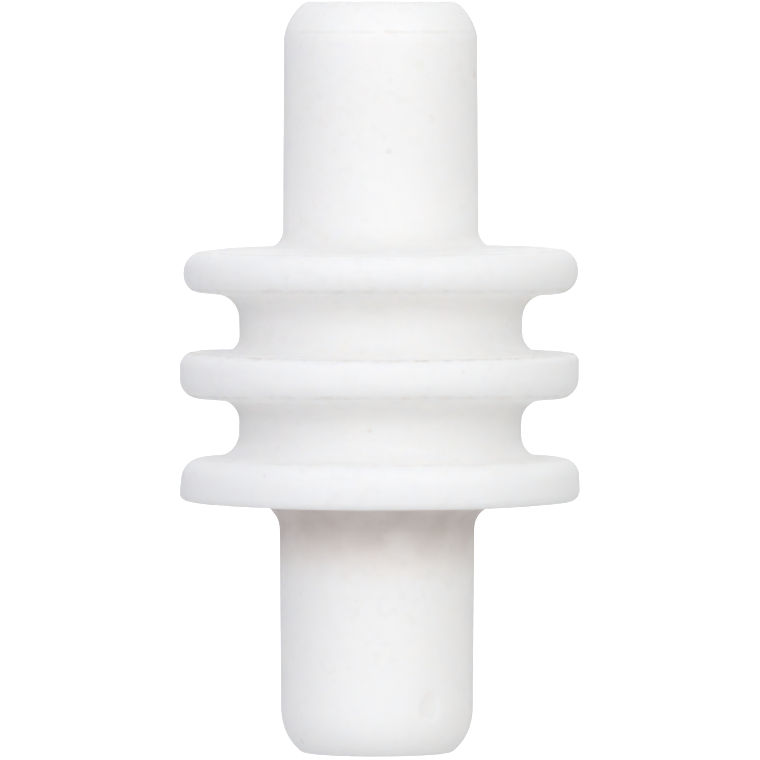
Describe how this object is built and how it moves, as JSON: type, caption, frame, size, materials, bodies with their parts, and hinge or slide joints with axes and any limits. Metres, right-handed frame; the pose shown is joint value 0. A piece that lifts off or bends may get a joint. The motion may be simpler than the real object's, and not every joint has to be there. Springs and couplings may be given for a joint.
{
  "type": "ribbed insulating cavity plug",
  "caption": "Soft solid plug that insulates and seals an unused connector cavity: a grooved core with round sealing lips between plain stubs with bowed ends.",
  "frame": {"origin": "centre of the lower end face, which the plug stands on", "axes": "+Z along the plug's axis, from the lower stub to the upper stub; X and Y are alike"},
  "size_m": [0.0064, 0.0064, 0.012],
  "materials": {
    "silicone_rubber": "matte, slightly translucent"
  },
  "bodies": {
    "root": {"blind_plug": "silicone_rubber"}
  },
  "joints": []
}
